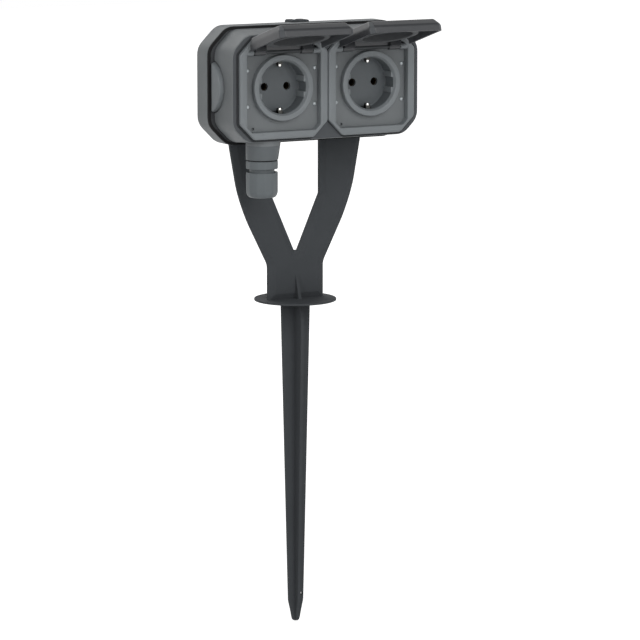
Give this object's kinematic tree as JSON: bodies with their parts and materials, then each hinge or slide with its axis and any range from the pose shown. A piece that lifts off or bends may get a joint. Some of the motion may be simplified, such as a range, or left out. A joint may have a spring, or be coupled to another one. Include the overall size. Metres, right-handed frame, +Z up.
{
  "type": "garden socket post",
  "caption": "Outdoor double socket box with hinged lids and a cable gland, carried on a Y-shaped post with a round ground plate and a ribbed ground spike.",
  "frame": {"origin": "on the spike's axis at ground level, the middle of the round ground plate", "axes": "+Z up, the sockets face -Y, +X to the right when facing the sockets"},
  "size_m": [0.171, 0.1399, 0.4736],
  "materials": {
    "box_plastic": "fine satin grain",
    "blank_plastic": "fine satin grain",
    "lid_plastic": "satin",
    "gland_plastic": "satin",
    "post_plastic": "satin",
    "inner_plastic": "plain",
    "seal_rubber": "dull",
    "zinc_steel": "bright zinc",
    "clip_steel": "bright nickel",
    "contact_brass": "plain"
  },
  "bodies": {
    "stand": {"spike_post": "post_plastic", "post_screws": "zinc_steel", "rear_shell": "box_plastic", "shell_seal": "seal_rubber", "front_cover": "box_plastic", "cover_screws": "zinc_steel", "left_entry_blank": "blank_plastic", "right_entry_blank": "blank_plastic", "left_socket_frame": "box_plastic", "right_socket_frame": "box_plastic", "left_frame_gasket": "seal_rubber", "right_frame_gasket": "seal_rubber", "left_socket_insert": "box_plastic", "right_socket_insert": "box_plastic", "insert_screws": "zinc_steel", "left_contact_carrier": "inner_plastic", "right_contact_carrier": "inner_plastic", "carrier_screws": "zinc_steel", "left_pin_contacts": "contact_brass", "right_pin_contacts": "contact_brass", "left_earth_clip": "clip_steel", "right_earth_clip": "clip_steel", "live_link": "contact_brass", "neutral_link": "contact_brass", "earth_link": "contact_brass", "terminal_nuts": "zinc_steel", "earth_screws": "zinc_steel", "left_hinge_rod": "inner_plastic", "right_hinge_rod": "inner_plastic", "gland_body": "gland_plastic", "gland_washer": "seal_rubber", "gland_seal": "seal_rubber"},
    "left_cap": {"left_lid": "lid_plastic", "left_lid_seal": "seal_rubber"},
    "right_cap": {"right_lid": "lid_plastic", "right_lid_seal": "seal_rubber"},
    "pressure_ring": {"thrust_ring": "inner_plastic"},
    "nut": {"gland_nut": "gland_plastic"}
  },
  "joints": [
    {"name": "left_lid_hinge", "type": "hinge", "parent": "stand", "child": "left_cap", "pos_m": [-0.0375, -0.0515, 0.1961], "axis": [-1, 0, 0], "range_deg": [-106, 4]},
    {"name": "right_lid_hinge", "type": "hinge", "parent": "stand", "child": "right_cap", "pos_m": [0.0375, -0.0515, 0.1961], "axis": [-1, 0, 0], "range_deg": [-106, 4]},
    {"name": "nut_climb", "type": "slide", "parent": "stand", "child": "pressure_ring", "axis": [0, 0, 1], "range_m": [-0.0075, 0.002]},
    {"name": "nut_turn", "type": "hinge", "parent": "pressure_ring", "child": "nut", "pos_m": [-0.047, -0.0355, 0.097], "axis": [0, 0, 1], "range_deg": [-1801, 481]}
  ],
  "couplings": [
    {"joint": "nut_turn", "follows": "nut_climb", "rad_per_m": 4188.8}
  ]
}
